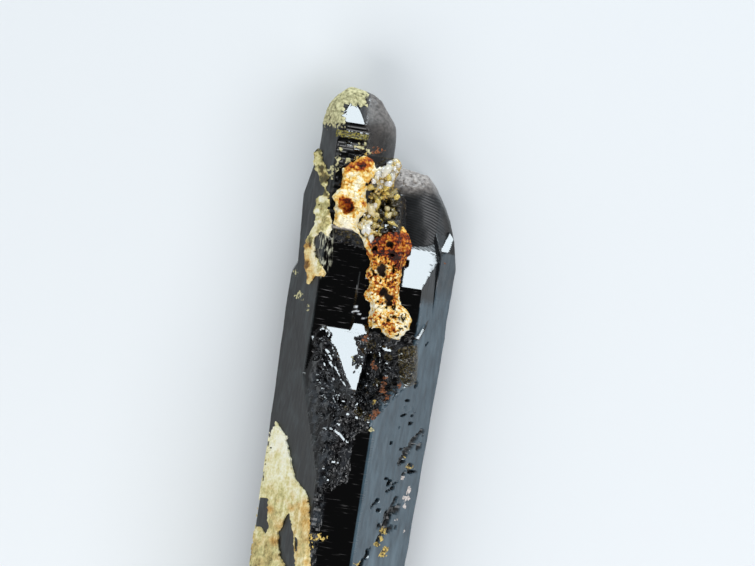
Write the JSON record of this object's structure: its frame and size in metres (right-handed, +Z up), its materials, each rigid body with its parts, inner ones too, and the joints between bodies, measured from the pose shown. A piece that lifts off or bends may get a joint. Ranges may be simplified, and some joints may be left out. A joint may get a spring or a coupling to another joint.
{
  "type": "rough morion quartz crystal",
  "caption": "Rough black smoky quartz: a long faceted prism with a small finger crystal, a rounded shoulder crystal and an iron-oxide crust at its tip, lying on a prism face.",
  "frame": {"origin": "middle of the specimen's footprint, on the surface it lies on", "axes": "+Y along the c axis toward the crystal tips, +Z up through the stepped front face, +X toward the shoulder crystal"},
  "size_m": [0.0266, 0.1044, 0.022],
  "materials": {
    "black_quartz": "gloss",
    "limonite": "matte",
    "clear_quartz": "gloss",
    "clay_coat": "matte"
  },
  "bodies": {
    "root": {"morion_crystal": "black_quartz", "limonite_crust": "limonite", "quartz_druse": "clear_quartz", "upper_clay_coat": "clay_coat", "lower_clay_coat": "clay_coat"}
  },
  "joints": []
}
